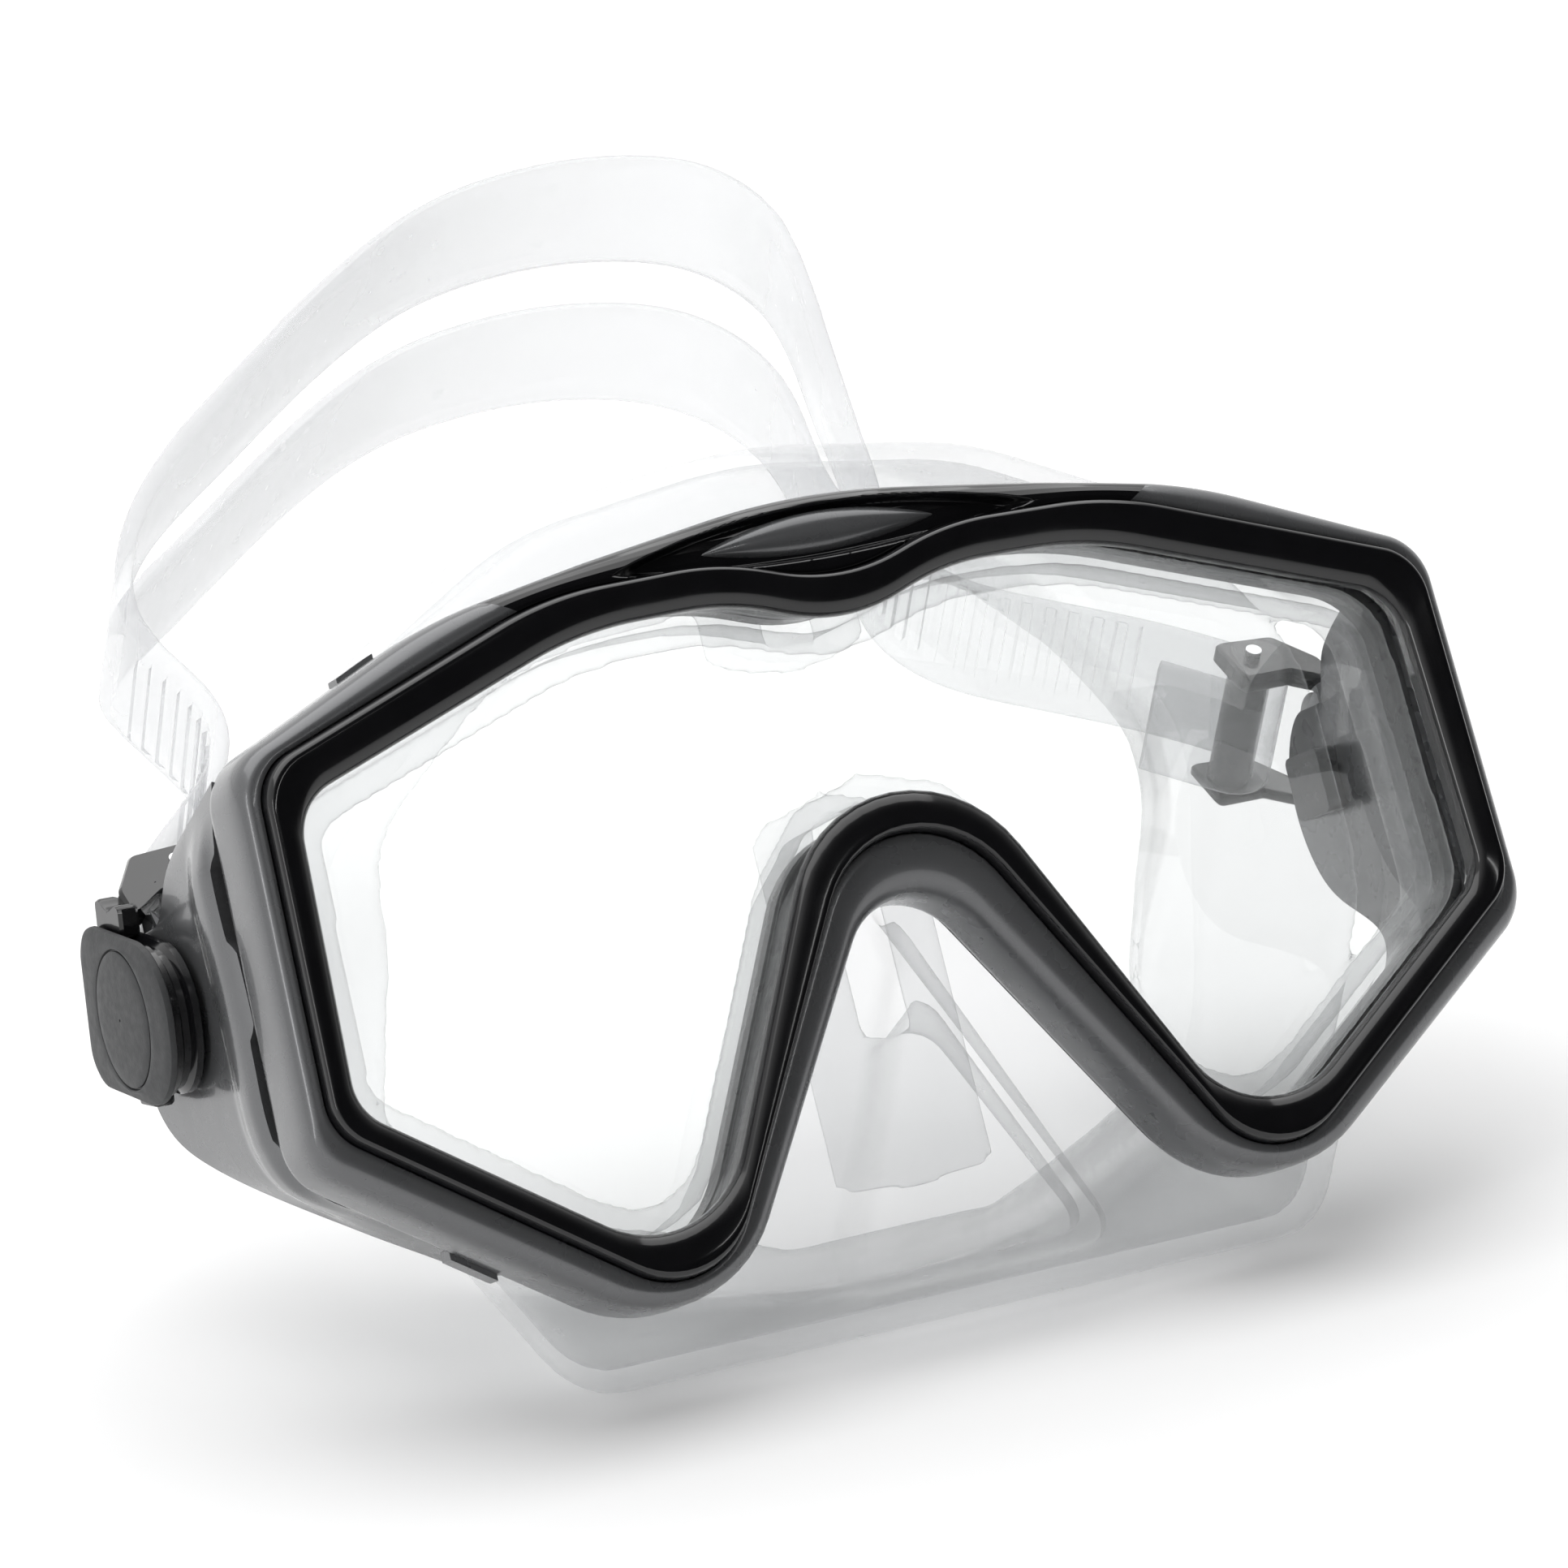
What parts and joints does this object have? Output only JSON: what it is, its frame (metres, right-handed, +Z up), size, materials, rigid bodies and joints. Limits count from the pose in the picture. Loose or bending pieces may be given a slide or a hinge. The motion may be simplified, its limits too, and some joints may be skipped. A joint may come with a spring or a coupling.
{
  "type": "diving mask",
  "caption": "Low-volume diving mask: single notched glass lens, clear silicone skirt with nose pocket, W-shaped frame, swivel buckles with squeeze tabs and a clear split strap.",
  "frame": {"origin": "middle of the base of the bounding box, on the surface the mask rests on", "axes": "+Z up at rest, -Y the way the lens faces, +X to the right seen from the front, which is the wearer's left"},
  "size_m": [0.171, 0.1858, 0.0957],
  "materials": {
    "clear_glass": "clear, polished",
    "clear_silicone": "clear, satin",
    "gloss_black": "gloss",
    "metallic_grey": "gloss with metallic flake",
    "matte_grey": "matte, fine grain",
    "steel": "bright"
  },
  "bodies": {
    "mask": {"lens": "clear_glass", "skirt": "clear_silicone", "inner_ring": "gloss_black", "front_frame": "metallic_grey", "inner_frame": "gloss_black", "top_bridge": "gloss_black", "bridge_badge": "metallic_grey", "frame_clips": "gloss_black", "arm_right": "metallic_grey", "arm_left": "metallic_grey", "pivot_pin_right": "gloss_black", "pivot_pin_left": "gloss_black"},
    "head_strap": {"strap": "clear_silicone", "buckle_frame_right": "gloss_black", "buckle_frame_left": "gloss_black", "buckle_cover_right": "matte_grey", "buckle_cover_left": "matte_grey", "cover_inset_right": "matte_grey", "cover_inset_left": "matte_grey", "roller_pin_right": "steel", "roller_pin_left": "steel", "tab_spring_right": "steel", "tab_spring_left": "steel"},
    "roller_right": {"strap_roller_right": "gloss_black"},
    "tab_top_right": {"squeeze_tab_top_right": "gloss_black"},
    "tab_bottom_right": {"squeeze_tab_bottom_right": "gloss_black"},
    "roller_left": {"strap_roller_left": "gloss_black"},
    "tab_top_left": {"squeeze_tab_top_left": "gloss_black"},
    "tab_bottom_left": {"squeeze_tab_bottom_left": "gloss_black"}
  },
  "joints": [
    {"name": "strap_swing", "type": "hinge", "parent": "mask", "child": "head_strap", "pos_m": [0, -0.03906, 0.03752], "axis": [1, 0, 0], "range_deg": [-35, 8]},
    {"name": "roller_spin_right", "type": "hinge", "parent": "head_strap", "child": "roller_right", "pos_m": [0.0725, -0.02512, 0.04152], "axis": [0, -0.2756, 0.9613], "continuous": true},
    {"name": "squeeze_top_right", "type": "slide", "parent": "head_strap", "child": "tab_top_right", "axis": [0, 0.2756, -0.9613], "range_m": [0, 0.0015], "stiffness_N_per_m": 1200, "springref_m": -0.001},
    {"name": "squeeze_bottom_right", "type": "slide", "parent": "head_strap", "child": "tab_bottom_right", "axis": [0, -0.2756, 0.9613], "range_m": [0, 0.0015], "stiffness_N_per_m": 1200, "springref_m": -0.001},
    {"name": "roller_spin_left", "type": "hinge", "parent": "head_strap", "child": "roller_left", "pos_m": [-0.0725, -0.02512, 0.04152], "axis": [0, -0.2756, 0.9613], "continuous": true},
    {"name": "squeeze_top_left", "type": "slide", "parent": "head_strap", "child": "tab_top_left", "axis": [0, 0.2756, -0.9613], "range_m": [0, 0.0015], "stiffness_N_per_m": 1200, "springref_m": -0.001},
    {"name": "squeeze_bottom_left", "type": "slide", "parent": "head_strap", "child": "tab_bottom_left", "axis": [0, -0.2756, 0.9613], "range_m": [0, 0.0015], "stiffness_N_per_m": 1200, "springref_m": -0.001}
  ]
}
